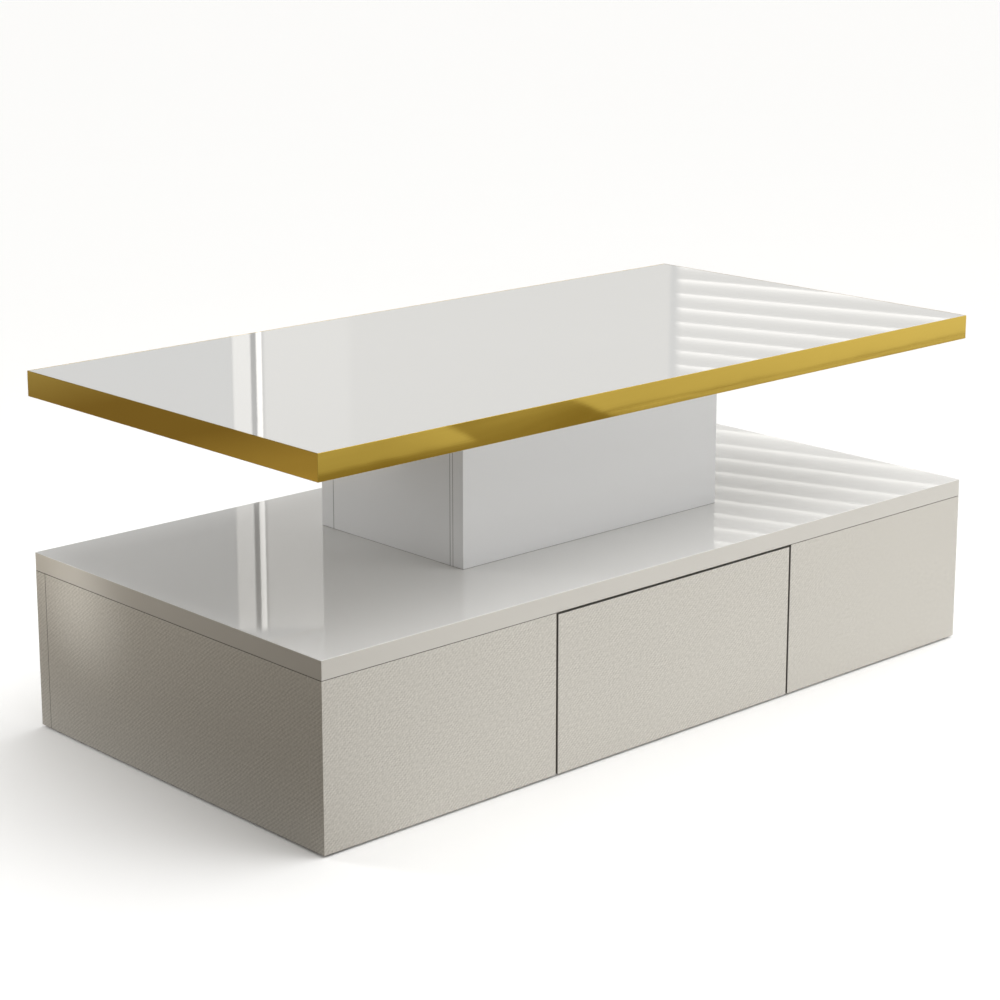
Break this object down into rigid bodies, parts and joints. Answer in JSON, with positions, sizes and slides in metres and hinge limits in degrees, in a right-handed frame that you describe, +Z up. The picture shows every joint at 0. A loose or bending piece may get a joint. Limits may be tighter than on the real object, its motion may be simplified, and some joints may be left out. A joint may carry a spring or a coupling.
{
  "type": "lift top coffee table",
  "caption": "Low rectangular coffee table with a drawer base, an open deck, a hollow pedestal and a metal-edged top that lifts up and forward on sprung arms.",
  "frame": {"origin": "on the floor, under the middle of the table", "axes": "+X along the length, +Z up, the drawer faces -Y"},
  "size_m": [1.2, 0.6, 0.488],
  "materials": {
    "top_gloss_white": "high gloss white lacquer on fibreboard",
    "deck_gloss_white": "high gloss white lacquer on fibreboard",
    "pedestal_white": "smooth white lacquer on fibreboard",
    "base_gloss_greige": "glossy warm grey lacquer over a fine woven print",
    "gold_band": "mirror-polished gold",
    "carcass_board": "white melamine on particle board",
    "hardboard": "white-faced hardboard",
    "black_steel": "satin black powder coat",
    "zinc_steel": "bright zinc plating",
    "runner_steel": "rolled zinc-plated steel",
    "spring_steel": "oiled spring wire",
    "nylon": "natural nylon",
    "grey_plastic": "moulded grey plastic",
    "clear_rubber": "translucent soft bumper"
  },
  "bodies": {
    "root": {"base_plate_left": "black_steel", "base_plate_right": "black_steel", "base_plate_screws": "zinc_steel", "base_plate_studs": "zinc_steel", "base_pivot_pins": "zinc_steel", "base_pivot_washers": "nylon", "spring_left": "spring_steel", "spring_right": "spring_steel", "pedestal_front": "pedestal_white", "pedestal_rear": "pedestal_white", "pedestal_left": "pedestal_white", "pedestal_right": "pedestal_white", "pedestal_cams": "zinc_steel", "pedestal_cam_bolts": "zinc_steel", "pedestal_screws": "zinc_steel", "rim_bumpers": "clear_rubber", "deck_panel": "deck_gloss_white", "front_panel_left": "base_gloss_greige", "front_panel_right": "base_gloss_greige", "rear_panel": "base_gloss_greige", "end_panel_left": "base_gloss_greige", "end_panel_right": "base_gloss_greige", "bottom_panel": "carcass_board", "divider_left": "carcass_board", "divider_right": "carcass_board", "base_cams": "zinc_steel", "base_cam_bolts": "zinc_steel", "glides": "grey_plastic", "runner_outer_left": "runner_steel", "runner_outer_right": "runner_steel", "push_latch_body": "grey_plastic"},
    "lift_top": {"lift_top_panel": "top_gloss_white", "edge_band_front": "gold_band", "edge_band_rear": "gold_band", "edge_band_left": "gold_band", "edge_band_right": "gold_band", "top_bracket_left": "black_steel", "top_bracket_right": "black_steel", "top_bracket_screws": "zinc_steel", "top_pivot_pins": "zinc_steel", "top_pivot_washers": "nylon"},
    "rear_arms": {"rear_arm_left": "black_steel", "rear_arm_right": "black_steel", "cross_bar": "black_steel", "spring_studs": "zinc_steel"},
    "front_arm_left": {"front_arm_left": "black_steel"},
    "front_arm_right": {"front_arm_right": "black_steel"},
    "drawer": {"drawer_front": "base_gloss_greige", "drawer_side_left": "carcass_board", "drawer_side_right": "carcass_board", "drawer_back": "carcass_board", "drawer_bottom": "hardboard", "drawer_cams": "zinc_steel", "drawer_cam_bolts": "zinc_steel", "runner_inner_left": "runner_steel", "runner_inner_right": "runner_steel"},
    "runner_middle_left": {"runner_middle_left": "runner_steel"},
    "runner_middle_right": {"runner_middle_right": "runner_steel"},
    "latch_plunger": {"push_latch_plunger": "nylon"}
  },
  "joints": [
    {"name": "lift_arms", "type": "hinge", "parent": "root", "child": "rear_arms", "pos_m": [0, -0.045, 0.388], "axis": [1, 0, 0], "range_deg": [0, 122], "deforming": ["spring_left", "spring_right"]},
    {"name": "front_arm_left_pivot", "type": "hinge", "parent": "root", "child": "front_arm_left", "pos_m": [0, -0.088, 0.418], "axis": [1, 0, 0], "range_deg": [0, 122]},
    {"name": "front_arm_right_pivot", "type": "hinge", "parent": "root", "child": "front_arm_right", "pos_m": [0, -0.088, 0.418], "axis": [1, 0, 0], "range_deg": [0, 122]},
    {"name": "top_level", "type": "hinge", "parent": "rear_arms", "child": "lift_top", "pos_m": [0, 0.10272, 0.36195], "axis": [1, 0, 0], "range_deg": [-122, 0]},
    {"name": "drawer_slide", "type": "slide", "parent": "root", "child": "drawer", "axis": [0, -1, 0], "range_m": [0, 0.42]},
    {"name": "runner_left_slide", "type": "slide", "parent": "root", "child": "runner_middle_left", "axis": [0, -1, 0], "range_m": [0, 0.21]},
    {"name": "runner_right_slide", "type": "slide", "parent": "root", "child": "runner_middle_right", "axis": [0, -1, 0], "range_m": [0, 0.21]},
    {"name": "latch_press", "type": "slide", "parent": "root", "child": "latch_plunger", "axis": [0, 1, 0], "range_m": [0, 0.003], "stiffness_N_per_m": 300}
  ],
  "couplings": [
    {"joint": "front_arm_left_pivot", "follows": "lift_arms", "ratio": 1},
    {"joint": "front_arm_right_pivot", "follows": "lift_arms", "ratio": 1},
    {"joint": "top_level", "follows": "lift_arms", "ratio": -1},
    {"joint": "runner_left_slide", "follows": "drawer_slide", "ratio": 0.5},
    {"joint": "runner_right_slide", "follows": "drawer_slide", "ratio": 0.5}
  ]
}
